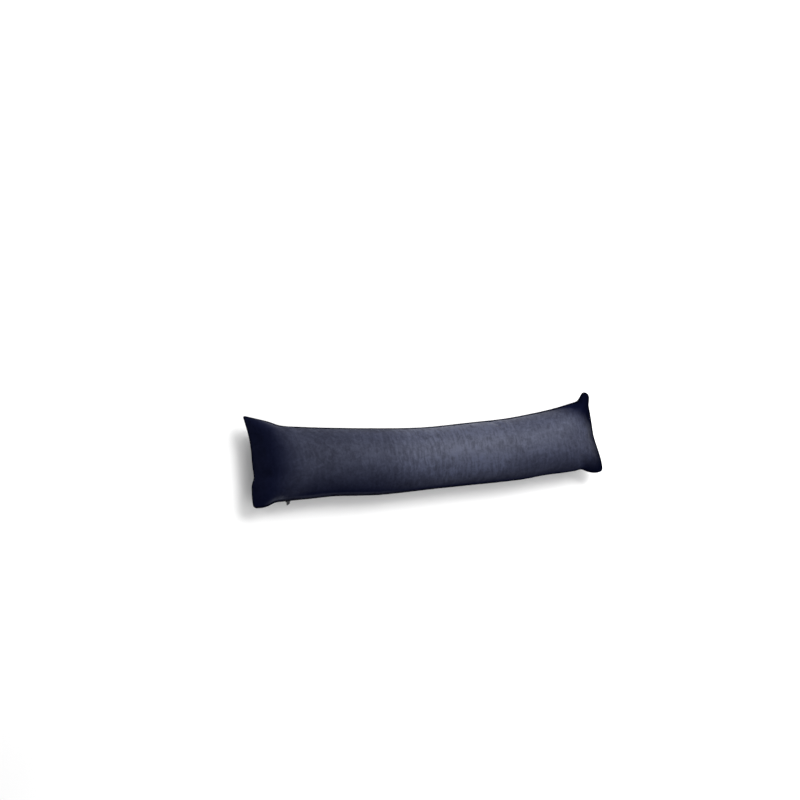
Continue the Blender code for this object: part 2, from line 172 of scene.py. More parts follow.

# How the pile changes over a panel, and where light and shade are painted on it. Each row: where a change
# starts and ends, and often its value before and after, which is else 0 and 1. The first five are over the
# value of a noise, and the others over metres from the panel's middle or in from its seam. The rows from
# LEFT_END on place painted light and shade, which is partly the pile's lay: dark ends, a dark near side,
# far rim and seam lines, a bright middle, and painted highlights on the left ears, the near seam's lip and
# a tuck.
STROKES = (0.30, 0.70, 0.0, 0.34)
CRUSHED = (0.28, 0.72, 0.0, 0.26)
CELLS = (0.25, 0.75, 0.0, 0.14)
BROAD = (0.30, 0.70, 0.0, 0.16)
PILE = (0.25, 0.75, 0.0, 0.10)
STROKED_MIDDLE = (-0.25, -0.02, 0.3, 1.0)
SMOOTHER_RIGHT = (0.10, 0.25, 1.0, 0.5)
LEFT_END = (-0.418, -0.322, 0.08, 1.0)
LEFT_END_EARS = (0.055, 0.095, 0.0, 0.035)
LEFT_END_NEAR = (0.05, -0.01, 0.0, -0.006)
LEFT_THIRD = (-0.17, 0.04, 0.56, 1.0)
RIGHT_THIRD = (0.12, 0.28, 1.0, 0.80)
RIGHT_END = (0.376, 0.464, 1.0, 0.0)
NEAR_SIDE = (-0.112, -0.025)
NEAR_SIDE_LEFT = (-0.38, -0.30, 0.0, -0.010)
NEAR_SIDE_ZIP = (-0.37, -0.30, 0.0, 0.010)
ZIP_FADE = (-0.20, -0.05, 1.0, 0.0)
LIP_START = (-0.425, -0.400, 0.0, 0.32)
LIP_TOP = (-0.084, -0.094)
LIP_FOOT = (-0.108, -0.101)
FAR_RIM = (0.060, 0.108)
FAR_RIM_LEFT = (-0.14, -0.26, 0.20, 0.50)
SEAM_LINE = (0.0005, 0.0055)
EAR_WIDTH = (0.034, 0.004)
EAR_SEAM = (0.001, 0.006)
FAR_EAR = (0.070, 0.096, 0.0, 0.26)
NEAR_EAR = (-0.074, -0.090, 0.0, 0.34)
TUCK_WIDTH = (0.0024, 0.0004, 0.0, 0.4)
TUCK_FOOT = (-0.103, -0.098)
TUCK_TOP = (-0.080, -0.085)
# Painted shade along every seam: the matt copy's colour goes towards black there, more at the right end
PAINTED_SEAM_SHADE = (0.0, 0.006, 0.25, 1.0)
PAINTED_SEAM_SHADE_RIGHT = (0.36, 0.44, 1.0, 0.5)

# The painted dark right end's slant past these lines, far and near, and the middles of the painted
# highlights on the left ears and tuck
FAR_SLANT, FAR_LINE = 1.1, 0.005
NEAR_SLANT, NEAR_LINE = 0.5, 0.03
EAR_MIDDLE = 0.395
TUCK_MIDDLE, TUCK_SLANT = 0.3480, 0.39

# Soft lights: direction from the cushion, and power beside the key light's
LIGHTS = (
    ("key_light", (0.42, 0.38, 0.82), 1.0),
    ("far_light", (0.10, 0.85, 0.50), 0.25),
    ("right_light", (0.80, 0.20, 0.55), 0.15),
    ("near_light", (0.10, -0.50, 0.80), 0.23),
)
LIGHT_DISTANCE = 2.2
CUSHION_MIDDLE = Vector((0.0, 0.0, 0.05))

# The camera looks down on the front panel, from a little to its left and its near side, and is rolled
CAMERA_YAW = math.radians(18.3456)
CAMERA_PITCH = math.radians(10.6125)
CAMERA_ROLL = math.radians(-7.9993)
CAMERA_TARGET = Vector((-0.0616, 0.1155, 0.0497))
CAMERA_DISTANCE = 2.7859


def metres(name, description, size):
    return FloatProperty(name=name, description=description, default=size, unit="LENGTH")


def factor(name, description, part):
    return FloatProperty(
        name=name, description=description, default=part, min=0.0, max=1.0, subtype="FACTOR"
    )


def number(name, description, value, **limits):
    return FloatProperty(name=name, description=description, default=value, **limits)


def tint(name, description, rgb):
    return FloatVectorProperty(
        name=name, description=description, default=rgb, subtype="COLOR", size=3, min=0.0, max=1.0
    )


class DraughtCover(bpy.types.PropertyGroup):
    """Sizes of the cover and how firmly it is filled."""

    cut_length: metres("Cut length", "Length of each panel between its seams", 0.900)
    cut_width: metres("Cut width", "Width of each panel between its seams", 0.220)
    seam_height: metres("Seam height", "Height of the seam above the floor", 0.050)
    edge_width: metres("Edge width", "Width of the pressed edge along the seam", 0.004)
    edge_thickness: metres("Edge thickness", "Thickness of the pressed edge", 0.0026)
    net: metres("Net spacing", "Spacing of the net that settles as cloth", 0.005)
    pressure: number("Filling pressure", "How hard the filling pushes on the cover", 8.0, min=0.0)
    frames: IntProperty(name="Frames", description="Frames for which the cloth settles", default=30, min=1)
    fill: factor("Fill", "How full the cushion is", 0.85)
    corner: metres("Corner", "Rounding of the turned corners", 0.007)
    pucker: metres("Pucker", "Depth of the small puckers beside the seam", 0.0007)
    seed: IntProperty(name="Seed", description="Seed of the small puckers", default=7)


class DraughtZip(bpy.types.PropertyGroup):
    """Sizes of the zip in the near seam."""

    start: metres("Start", "Where the zip starts along the cushion", -0.366)
    length: metres("Length", "Length of the closed zip", 0.400)
    pitch: metres("Coil pitch", "Distance from one turn of the coil to the next", 0.0014)
    wire: metres("Coil wire", "Radius of the coil's wire", 0.00038)
    slit: metres("Slit", "Height of the opening that the coil shows in", 0.0048)
    edge: metres("Placket edge", "Thickness of the seam's edge along the zip", 0.0062)
    ramp: metres("Placket ramp", "Length over which the edge thickens", 0.018)
    stitch: metres("Stitch length", "Length of one stitch beside the zip", 0.0026)
    stitch_gap: metres("Stitch gap", "Gap between two stitches", 0.0008)
    thread: metres("Thread", "Radius of the sewing thread", 0.00026)
    pull_length: metres("Pull length", "Length of the pull below the bail", 0.015)


class DraughtFinish(bpy.types.PropertyGroup):
    """Colours of the velvet, with its painted lit and shaded tones, the zip and the floor."""

    # The velvet's dark pile, which is also the matt copy that stands for painted shade, and the glossy lit
    # copy that stands for painted light
    dark_pile_and_painted_shade: tint("Deep pile", "Velvet where its pile leans away", (0.0041, 0.0054, 0.019))
    painted_lit_pile: tint("Light pile", "Velvet where its pile catches the light", (0.020, 0.027, 0.065))
    coil: tint("Coil", "Nylon of the zip's coil and tape", (0.014, 0.016, 0.030))
    metal: tint("Slider", "Lacquer of the slider and its pull", (0.004, 0.0045, 0.008))
    floor: tint("Floor", "Pale floor under the cushion", (0.88, 0.88, 0.88))
    stroke: metres("Brush stroke", "Width of the strokes that the pile is brushed in", 0.007)
    crush: metres("Crush", "Size of the soft patches in the pile", 0.012)
    gloss: factor("Gloss", "How strongly the pile catches the light", 0.66)


class DraughtStage(bpy.types.PropertyGroup):
    """The floor, the lights and the camera."""

    floor_size: metres("Floor size", "Side of the floor", 12.0)
    key_power: number("Key light", "Power of the main soft light", 50.0, unit="POWER")
    softness: metres("Softness", "Side of each square light", 1.3)
    sky: number("Sky", "Strength of the even light from all round", 0.6, min=0.0)
    lens: number("Lens", "Focal length in millimetres", 52.0, min=1.0)


class Wire:
    """A value on its way through a node tree. Sums and products of wires become Math nodes."""

    def __init__(self, nodes, socket):
        self.nodes = nodes
        self.socket = socket

    def also(self, output):
        """Another output of the same node."""
        return Wire(self.nodes, self.socket.node.outputs[output])

    def __add__(self, other):
        return self.nodes.maths("ADD", self, other)

    def __radd__(self, other):
        return self.nodes.maths("ADD", other, self)

    def __sub__(self, other):
        return self.nodes.maths("SUBTRACT", self, other)

    def __rsub__(self, other):
        return self.nodes.maths("SUBTRACT", other, self)

    def __mul__(self, other):
        return self.nodes.maths("MULTIPLY", self, other)

    def __rmul__(self, other):
        return self.nodes.maths("MULTIPLY", other, self)

    def __abs__(self):
        return self.nodes.maths("ABSOLUTE", self)

    def clamped(self):
        return self.nodes.node("ShaderNodeClamp", None, {"Value": self, "Min": 0.0, "Max": 1.0})


class Nodes:
    """A node tree that expressions build."""

    def node(self, kind, settings=None, inputs=None, output=0):
        """Adds a node: its settings first, then its values and links. Gives one of its outputs."""
        made = self.tree.nodes.new(kind)
        for name, value in (settings or {}).items():
            setattr(made, name, value)
        for socket, value in (inputs or {}).items():
            self.feed(made.inputs[socket], value)
        return Wire(self, made.outputs[output])

    def feed(self, socket, value):
        if isinstance(value, Wire):
            self.tree.links.new(value.socket, socket)
        else:
            socket.default_value = value

    def maths(self, operation, *values):
        return self.node("ShaderNodeMath", {"operation": operation}, dict(enumerate(values)))


class Finish(Nodes):
    """A material and the nodes that make it."""

    def __init__(self, name):
        self.material = bpy.data.materials.new(name)
        self.material.use_nodes = True
        self.tree = self.material.node_tree
        self.surface = Wire(self, self.tree.nodes["Principled BSDF"].outputs[0])

    def surface_is(self, surface=None, **inputs):
        """Sets the inputs of a surface: the material's first one, or the one that is given."""
        surface = surface or self.surface
        for name, value in inputs.items():
            self.feed(surface.socket.node.inputs[name.replace("_", " ")], value)

    def mixed_with(self, share, **inputs):
        """Mixes a second surface into the first one, by a share that may vary over the cloth."""
        second = self.node("ShaderNodeBsdfPrincipled")
        self.surface_is(second, **inputs)
        mix = self.node("ShaderNodeMixShader", None, {0: share, 1: self.surface, 2: second})
        self.feed(self.tree.nodes["Material Output"].inputs["Surface"], mix)

    def object_place(self):
        return self.node("ShaderNodeTexCoord", None, None, "Object")

    def noise(self, place, scale, detail=2.0, roughness=0.5, distortion=0.0):
        inputs = {"Vector": place, "Scale": scale, "Detail": detail}
        inputs.update({"Roughness": roughness, "Distortion": distortion})
        return self.node("ShaderNodeTexNoise", None, inputs)

    def stretched(self, place, scale, turn=0.0):
        inputs = {"Vector": place, "Rotation": (0.0, 0.0, turn), "Scale": scale}
        return self.node("ShaderNodeMapping", None, inputs)

    def ramp(self, value, start, end, before=0.0, after=1.0):
        """One value up to the start and another past the end, smooth between them."""
        inputs = {"Value": value, "From Min": start, "From Max": end, "To Min": before, "To Max": after}
        return self.node("ShaderNodeMapRange", {"interpolation_type": "SMOOTHSTEP"}, inputs)

    def blend(self, share, first, second):
        inputs = {0: share, 6: (*first, 1.0)}
        inputs[7] = (*second, 1.0) if isinstance(second, tuple) else second
        return self.node("ShaderNodeMix", {"data_type": "RGBA"}, inputs, 2)

    def bump(self, height, strength, distance, **under):
        inputs = {"Height": height, "Strength": strength, "Distance": distance, **under}
        return self.node("ShaderNodeBump", None, inputs)


class Pattern(Nodes):
    """A geometry tree for what repeats along a path, with a named input for each size."""

    def __init__(self, name, **sizes):
        self.tree = bpy.data.node_groups.new(name, "GeometryNodeTree")
        self.tree.interface.new_socket("Geometry", in_out="INPUT", socket_type="NodeSocketGeometry")
        self.identifiers = {}
        self.values = sizes
        for label, value in sizes.items():
            kind = "NodeSocketMaterial" if isinstance(value, bpy.types.Material) else "NodeSocketFloat"
            socket = self.tree.interface.new_socket(label, in_out="INPUT", socket_type=kind)
            self.identifiers[label] = socket.identifier
        self.tree.interface.new_socket("Geometry", in_out="OUTPUT", socket_type="NodeSocketGeometry")
        self.given = self.node("NodeGroupInput")

    def sizes(self, *labels):
        return [self.given.also(label) for label in labels]

    def vector(self, x=0.0, y=0.0, z=0.0):
        return self.node("ShaderNodeCombineXYZ", None, {"X": x, "Y": y, "Z": z})

    def bent_tube(self, radius, resolution, start, start_handle, end_handle, end):
        """A round wire from one point to another, bent by two handles."""
        ends = {"Resolution": resolution, "Start": start, "Start Handle": start_handle}
        ends.update({"End Handle": end_handle, "End": end})
        bent = self.node("GeometryNodeCurvePrimitiveBezierSegment", {"mode": "POSITION"}, ends)
        circle = {"Resolution": 6, "Radius": radius}
        section = self.node("GeometryNodeCurvePrimitiveCircle", {"mode": "RADIUS"}, circle)
        skin = {"Curve": bent, "Profile Curve": section, "Fill Caps": True}
        return self.node("GeometryNodeCurveToMesh", None, skin)

    def repeated(self, shape, pace):
        """Copies of the shape at an even pace along the path, each turned to follow it."""
        path = self.node("GeometryNodeMeshToCurve", None, {"Mesh": self.given})
        spacing = {"Curve": path, "Length": pace}
        steps = self.node("GeometryNodeCurveToPoints", {"mode": "LENGTH"}, spacing)
        tangent = {"Vector": steps.also("Tangent")}
        aligned = self.node("FunctionNodeAlignRotationToVector", {"axis": "X"}, tangent)
        copies = {"Points": steps, "Instance": shape, "Rotation": aligned}
        return self.node("GeometryNodeInstanceOnPoints", None, copies)

    def finish(self, geometry):
        real = self.node("GeometryNodeRealizeInstances", None, {"Geometry": geometry})
        smooth = self.node("GeometryNodeSetShadeSmooth", None, {"Geometry": real})
        look = {"Geometry": smooth, "Material": self.given.also("material")}
        coloured = self.node("GeometryNodeSetMaterial", None, look)
        end = self.tree.nodes.new("NodeGroupOutput")
        self.feed(end.inputs[0], coloured)

    def made_on(self, name, points):
        """Runs the tree on a polyline and gives the plain mesh object that comes out."""
        line = new_mesh(name + "_path", points.tolist(), [], [(k, k + 1) for k in range(len(points) - 1)])
        carrier = add_object(name + "_path", line)
        step = carrier.modifiers.new(name, "NODES")
        step.node_group = self.tree
        for label, value in self.values.items():
            step[self.identifiers[label]] = value
        mesh = evaluated_mesh(name, carrier)
        carrier.modifiers.remove(step)
        bpy.data.objects.remove(carrier)
        if not mesh.polygons:
            raise RuntimeError(name + ": the pattern made no faces")
        return add_object(name, mesh)


def new_mesh(name, points, faces, edges=()):
    mesh = bpy.data.meshes.new(name)
    mesh.from_pydata(points, edges, faces)
    return mesh


def add_object(name, mesh, material=None):
    piece = bpy.data.objects.new(name, mesh)
    bpy.context.scene.collection.objects.link(piece)
    if material:
        mesh.materials.clear()
        mesh.materials.append(material)
    return piece


def evaluated_mesh(name, piece):
    """A plain mesh of what the piece's modifiers make."""
    mesh = bpy.data.meshes.new_from_object(piece.evaluated_get(bpy.context.evaluated_depsgraph_get()))
    mesh.name = name
    return mesh


def smooth_shaded(mesh):
    mesh.polygons.foreach_set("use_smooth", [True] * len(mesh.polygons))
    mesh.update()


def needed(name):
    piece = bpy.data.objects.get(name)
    if piece is None:
        raise RuntimeError(name + " is made first")
    return piece


def square(half, height):
    """Corners and the one face of a level square."""
    corners = [(-half, -half, height), (half, -half, height), (half, half, height), (-half, half, height)]
    return corners, [(0, 1, 2, 3)]


def eased(t):
    """From 0 to 1, with no kink at either end."""
    t = np.clip(t, 0.0, 1.0)
    return t * t * (3.0 - 2.0 * t)


def slopes(knots, values):
    """Tangents of a smooth curve through the points, each from the chord of its neighbours."""
    inner = (values[2:] - values[:-2]) / (knots[2:] - knots[:-2])[:, None]
    first = (values[1] - values[0]) / (knots[1] - knots[0])
    last = (values[-1] - values[-2]) / (knots[-1] - knots[-2])
    return np.vstack([first, inner, last])


def hermite(knots, values, tangents, at):
    """The smooth curve's points at the given places along it."""
    place = np.clip(np.searchsorted(knots, at, side="right") - 1, 0, len(knots) - 2)
    step = (knots[place + 1] - knots[place])[:, None]
    t = (at - knots[place])[:, None] / step
    start = (1 + 2 * t) * (1 - t) ** 2 * values[place] + t * (1 - t) ** 2 * step * tangents[place]
    end = t**2 * (3 - 2 * t) * values[place + 1] + t**2 * (t - 1) * step * tangents[place + 1]
    return start + end


def lengths_along(points):
    return np.concatenate([[0.0], np.cumsum(np.linalg.norm(np.diff(points, axis=0), axis=1))])


def along_curve(points, shares):
    """Points at these shares of the length of the smooth curve through a short table."""
    points = np.array(points)
    knots = lengths_along(points)
    tangents = slopes(knots, points)
    fine = np.linspace(0.0, knots[-1], 700)
    run = lengths_along(hermite(knots, points, tangents, fine))
    at = np.interp(np.asarray(shares) * run[-1], run, fine)
    return hermite(knots, points, tangents, at)


def seam_centre():
    shares = np.linspace(0.0, 1.0, 700)
    seams = (FAR_SEAM, NEAR_SEAM, LEFT_SEAM, RIGHT_SEAM)
    outline = np.vstack([along_curve(seam, shares) for seam in seams])
    return (outline.min(axis=0) + outline.max(axis=0)) / 2


CENTRE = seam_centre()


def net_lines(length, edge, spacing):
    """Places of the net's lines over a cut length: the seam, the edge's root, then even steps."""
    count = round((length - 2 * edge) / spacing)
    return np.concatenate([[0.0], np.linspace(edge, length - edge, count + 1), [length]])


def plan_of_net(x, y, cover):
    """The sewn net in plan, blended from the four seams, and each row's place across its chord."""
    far = along_curve(FAR_SEAM, x / cover.cut_length) - CENTRE
    near = along_curve(NEAR_SEAM, x / cover.cut_length) - CENTRE
    inner = (y[1:-1] - cover.edge_width) / (cover.cut_width - 2 * cover.edge_width)
    across = np.concatenate([[-1.0], -np.cos(inner * math.pi), [1.0]])
    plan = []
    for k, share in enumerate(x / cover.cut_length):
        edge = cover.edge_width / np.linalg.norm(far[k] - near[k])
        v = np.concatenate([[0.0], edge + (1 - 2 * edge) * (across[1:-1] + 1) / 2, [1.0]])
        left = along_curve(LEFT_SEAM, v) - CENTRE
        right = along_curve(RIGHT_SEAM, v) - CENTRE
        ruled = np.outer(1 - v, near[k]) + np.outer(v, far[k])
        ends = (1 - share) * left + share * right
        corners = np.outer(1 - v, (1 - share) * near[0] + share * near[-1])
        corners += np.outer(v, (1 - share) * far[0] + share * far[-1])
        plan.append(ruled + ends - corners)
    return np.array(plan), across


def panel_faces(columns, rows, first, up):
    faces = []
    for i in range(columns - 1):
        for j in range(rows - 1):
            a = first + i * rows + j
            quad = (a, a + rows, a + rows + 1, a + 1)
            faces.append(quad if up else quad[::-1])
    return faces


def rim_of(columns, rows):
    """Column and row of each point on a panel's rim, once round from the near left ear."""
    rim = [(i, 0) for i in range(columns)]
    rim += [(columns - 1, j) for j in range(1, rows)]
    rim += [(i, rows - 1) for i in range(columns - 2, -1, -1)]
    rim += [(0, j) for j in range(rows - 2, 0, -1)]
    return np.array(rim)


def rim_faces(rings, count):
    """Bands between rings of point indices, each once round."""
    faces = []
    for first, second in zip(rings, rings[1:]):
        for k in range(count):
            after = (k + 1) % count
            faces.append((first[k], second[k], second[after], first[after]))
    return faces


def filled_heights(across, x, cover):
    """Front and rear heights of the filled net before it settles."""
    end_rise, full_crown, rear_share = 0.045, 0.062, 1.1
    half = cover.edge_thickness / 2
    from_end = np.minimum(x, cover.cut_length - x) - cover.edge_width
    rise = 1.0 - np.exp(-np.maximum(from_end, 0.0) / end_rise)
    bulge = np.maximum(1.0 - np.abs(across) ** 2.2, 0.0) ** 0.55
    crown = full_crown * np.outer(rise, bulge)
    rear = np.maximum(cover.seam_height - half - rear_share * crown, LEAST_HEIGHT)
    return cover.seam_height + half + crown, rear


def settling_floor():
    floor = add_object("settling_floor", new_mesh("settling_floor", *square(1.0, -0.003)))
    floor.modifiers.new("floor", "COLLISION")
    floor.collision.thickness_outer = FLOOR_GAP
    return floor


def settle(start, cut, faces, held, cover):
    """Lets the filled cover find its shape over its cut lengths, on a floor, with its seam held."""
    scene = bpy.context.scene
    cushion = add_object("settling_cover", new_mesh("settling_cover", start.tolist(), faces))
    group = cushion.vertex_groups.new(name="held seam")
    group.add([int(i) for i in held], 1.0, "REPLACE")
    cushion.shape_key_add(name="sewn")
    key = cushion.shape_key_add(name="cut")
    key.data.foreach_set("co", cut.astype(np.float32).ravel())
    cloth = cushion.modifiers.new("settling", "CLOTH")
    cloth.settings.rest_shape_key = key
    cloth.settings.vertex_group_mass = group.name
    for name, value in CLOTH.items():
        setattr(cloth.settings, name, value)
    cloth.settings.uniform_pressure_force = cover.pressure
    cloth.settings.effector_weights.gravity = 0.3
    cloth.collision_settings.distance_min = FLOOR_GAP
    cloth.point_cache.frame_start = 1
    cloth.point_cache.frame_end = cover.frames
    floor = settling_floor()
    for step in range(1, cover.frames + 1):
        scene.frame_set(step)
    shown = cushion.evaluated_get(bpy.context.evaluated_depsgraph_get())
    points = np.empty(len(shown.data.vertices) * 3, np.float32)
    shown.data.vertices.foreach_get("co", points)
    scene.frame_set(1)
    bpy.data.objects.remove(floor)
    bpy.data.objects.remove(cushion)
    points = points.reshape(-1, 3).astype(float)
    if not np.isfinite(points).all() or np.abs(points - start).max() > MOST_TRAVEL:
        raise RuntimeError("the cover didn't settle")
    return points


def weights_between(places, count):
    """Weights that read a row of net points at places between them: smooth, but straight over the edge."""
    weights = np.zeros((len(places), count))
    for row, place in enumerate(places):
        k = min(int(place), count - 2)
        t = place - k
        if k in (0, count - 2) or t == 0:
            weights[row, k] += 1 - t
            weights[row, k + 1] += t
            continue
        weights[row, max(k - 1, 1)] += (-t + 2 * t**2 - t**3) / 2
        weights[row, k] += 1 - 2.5 * t**2 + 1.5 * t**3
        weights[row, k + 1] += (t + 4 * t**2 - 3 * t**3) / 2
        weights[row, min(k + 2, count - 2)] += (t**3 - t**2) / 2
    return weights


def fine_weights(count):
    """Weights for the finished net's lines, which are twice as close as the settled one's."""
    inner = np.arange(1, count - 2 + 0.25, 0.5)
    places = np.concatenate([EDGE_STEPS, inner, count - 1 - np.array(EDGE_STEPS)[::-1]])
    return weights_between(places, count)


def fold_heights(plan, folds):
    """How far the folds lift or sink each point of a panel."""
    lift = np.zeros(plan.shape[:-1])
    for start_x, start_y, end_x, end_y, half_width, height in folds:
        start = np.array([start_x, start_y]) - CENTRE
        run = np.array([end_x, end_y]) - CENTRE - start
        size = np.linalg.norm(run)
        run = run / size
        away = plan - start
        forward = away @ run / size
        aside = np.abs(away @ np.array([-run[1], run[0]]))
        taper = np.clip(1.0 - (2.0 * forward - 1.0) ** 2, 0.0, 1.0) ** 0.7
        ridge = np.where(aside < 2 * half_width, np.cos(aside * math.pi / (4 * half_width)) ** 2, 0.0)
        lift += height * taper * ridge
    return lift


def wander(at, spacing, reach, rng):
    """A smooth random line along the seam: knots a spacing apart, up to reach high."""
    knots = np.arange(-0.6, 0.6 + spacing, spacing)
    heights = rng.uniform(-1.0, 1.0, len(knots)) * reach
    place = (at - knots[0]) / spacing
    k = np.clip(place.astype(int), 0, len(knots) - 2)
    t = eased(place - k)
    return heights[k] * (1 - t) + heights[k + 1] * t


def puckers(cut_x, cut_y, cover, side):
    """Small puckers that run from each seam into a panel and die out."""
    mean_reach, reach_spacing, reach_change = 0.012, 0.05, 0.005
    fine_wave, coarse_wave = (0.011, 1.0), (0.027, 1.2)
    rng = np.random.default_rng(cover.seed + side)
    half_length, half_width = cover.cut_length / 2, cover.cut_width / 2
    lift = np.zeros_like(cut_x)
    for along, away in (
        (cut_x, cut_y + half_width),
        (cut_x, half_width - cut_y),
        (cut_y, cut_x + half_length),
        (cut_y, half_length - cut_x),
    ):
        reach = mean_reach + wander(along, reach_spacing, reach_change, rng)
        root = np.clip(away / EDGE_ROOT, 0.0, 1.0)
        wave = wander(along, *fine_wave, rng) + wander(along, *coarse_wave, rng)
        lift += cover.pucker * wave * root * np.exp(-np.maximum(away - EDGE_ROOT, 0.0) / reach)
    return lift


def seam_wave(plan, away, cover):
    """How far the seam and the cloth beside it rise and fall along the cushion, and sink at its ears."""
    ear_start, ear_length, ear_side, ear_drop, fade = 0.38, 0.06, 0.1, 0.004, 0.03
    rng = np.random.default_rng(cover.seed + 10)
    x, y = plan[..., 0], plan[..., 1]
    line = wander(x + 0.3 * y, 0.13, 0.0014, rng)
    line += wander(y + 0.2 * x, 0.045, 0.0009, rng)
    ear = np.clip((np.abs(x) - ear_start) / ear_length, 0.0, 1.0) ** 2
    line -= ear_drop * ear * np.clip(np.abs(y) / ear_side, 0.0, 1.0) ** 2
    return line * np.exp(-((away / fade) ** 2))


def placket(x, zipper):
    """1 along the zip, then down to 0 in a short ramp past its ends."""
    margin = 0.006
    past = np.maximum(zipper.start - margin - x, x - (zipper.start + zipper.length + margin))
    return eased(1.0 - past / zipper.ramp)


def edge_roll(away, opening, cover, zipper):
    """Half the thickness of the pressed edge at a distance from the seam, less its settled one."""
    fade = 0.012
    closed = np.interp(away, EDGE_PLACES, CLOSED_EDGE)
    swell = zipper.edge / 2 - cover.edge_thickness / 2
    opened = np.interp(away, EDGE_PLACES, (*OPEN_EDGE, -swell))
    root = np.where(away > EDGE_ROOT, np.clip(1 - (away - EDGE_ROOT) / fade, 0, 1) ** 2, 1.0)
    opened = np.where(away > EDGE_ROOT, (swell + OPEN_EDGE[-1]) * root, swell + opened)
    return closed * (1 - opening) + opened * opening


def surface_normals(grid):
    normal = np.cross(np.gradient(grid, axis=0), np.gradient(grid, axis=1))
    return normal / np.maximum(np.linalg.norm(normal, axis=2, keepdims=True), 1e-12)


def rounded_corners(grid, cut, cover):
    """Turned corners: the last bit of each square corner is drawn in to a quarter circle."""
    half = np.array([cover.cut_length, cover.cut_width]) / 2
    reach = np.maximum(np.abs(cut) - (half - cover.corner), 0.0)
    size = np.linalg.norm(reach, axis=-1)
    share = np.where(size > 0, reach.max(axis=-1) / np.maximum(size, 1e-9), 1.0)
    moved = np.sign(cut) * reach * (share - 1.0)[..., None]
    by_x = np.gradient(grid, cut[:, 0, 0], axis=0)
    by_y = np.gradient(grid, cut[0, :, 1], axis=1)
    return grid + by_x * moved[..., :1] + by_y * moved[..., 1:]


def dressed_panel(grid, cut, folds, side, cover, zipper):
    """A settled panel with its folds, puckers, seam wave and pressed edge: side is 1 in front, else -1."""
    half_length, half_width = cover.cut_length / 2, cover.cut_width / 2
    from_end = half_length - np.abs(cut[..., 0])
    from_side = half_width - np.abs(cut[..., 1])
    away = np.minimum(from_end, from_side)
    lift = eased((away - EDGE_ROOT) / 0.010) * fold_heights(grid[..., :2], folds)
    lift += puckers(cut[..., 0], cut[..., 1], cover, side)
    made = grid + side * surface_normals(grid) * lift[..., None]
    made = rounded_corners(made, cut, cover)
    near = cut[..., 1] < 0
    opening = np.where(near, placket(grid[..., 0], zipper), 0.0) * np.clip(from_end / 0.02, 0.0, 1.0)
    roll_away = np.where(near & (opening > 0), from_side, away)
    made[..., 2] += side * edge_roll(roll_away, opening, cover, zipper)
    made[..., 2] += seam_wave(made[..., :2], away, cover)
    made[..., 2] = np.maximum(made[..., 2], 0.0)
    return made


def seam_rings(front, rear, rim, zipper):
    """Rings that close the rim: two rolled edges that meet in a groove, which the zip holds open."""
    i, j = rim[:, 0], rim[:, 1]
    columns, rows = front.shape[:2]
    inner_i = np.clip(i, 4, columns - 5)
    inner_j = np.clip(j, 4, rows - 5)
    middle = (front[i, j] + rear[i, j]) / 2
    inner = (front[inner_i, inner_j] + rear[inner_i, inner_j]) / 2
    inward = inner - middle
    inward /= np.linalg.norm(inward, axis=1, keepdims=True)
    opening = np.where(j == 0, placket(middle[:, 0], zipper), 0.0)
    slit = zipper.slit / 2
    closed = ((0.0003, 0.0002), (0.0005, 0.00006), (0.00055, 0.0))
    opened = ((0.00025, slit + 0.0001), (0.00225, slit), (0.0023, 0.0))
    rings = []
    for (shut_in, shut_up), (open_in, open_up) in zip(closed, opened):
        depth = shut_in * (1 - opening) + open_in * opening
        height = shut_up * (1 - opening) + open_up * opening
        centre = middle + inward * depth[:, None]
        rise = np.outer(height, (0, 0, 1))
        rings.append((centre + rise, centre - rise))
    return rings, middle, inward


def sew_cushion(cover, zipper):
    """The filled cover: both panels cut flat, sewn, settled, folded and closed along their seam."""
    x = net_lines(cover.cut_length, cover.edge_width, cover.net)
    y = net_lines(cover.cut_width, cover.edge_width, cover.net)
    shape = (len(x), len(y))
    size = len(x) * len(y)
    plan, across = plan_of_net(x, y, cover)
    flat = np.dstack(np.meshgrid(x - cover.cut_length / 2, y - cover.cut_width / 2, indexing="ij"))
    sheets = [np.dstack([plan, height]) for height in filled_heights(across, x, cover)]
    start = np.concatenate([sheet.reshape(-1, 3) for sheet in sheets])
    half = cover.edge_thickness / 2
    level = [np.dstack([flat, np.full(shape, cover.seam_height + h)]) for h in (half, -half)]
    cut = np.concatenate([sheet.reshape(-1, 3) for sheet in level])
    rim = rim_of(*shape)
    loop = (rim[:, 0] * shape[1] + rim[:, 1]).tolist()
    faces = panel_faces(*shape, 0, True) + panel_faces(*shape, size, False)
    faces += rim_faces([loop, [k + size for k in loop]], len(loop))
    edge = np.ones(shape, bool)
    edge[2:-2, 2:-2] = False
    start = settle(start, cut, faces, np.nonzero(np.tile(edge.ravel(), 2))[0], cover)
    by_column, by_row = fine_weights(shape[0]), fine_weights(shape[1])
    refined = [
        np.einsum("ai,bj,ijk->abk", by_column, by_row, sheet)
        for sheet in (*start.reshape(2, *shape, 3), flat)
    ]
    front = dressed_panel(refined[0], refined[2], FRONT_FOLDS, 1, cover, zipper)
    rear = dressed_panel(refined[1], refined[2], REAR_FOLDS, -1, cover, zipper)
    return cushion_mesh(front, rear, refined[2], zipper)


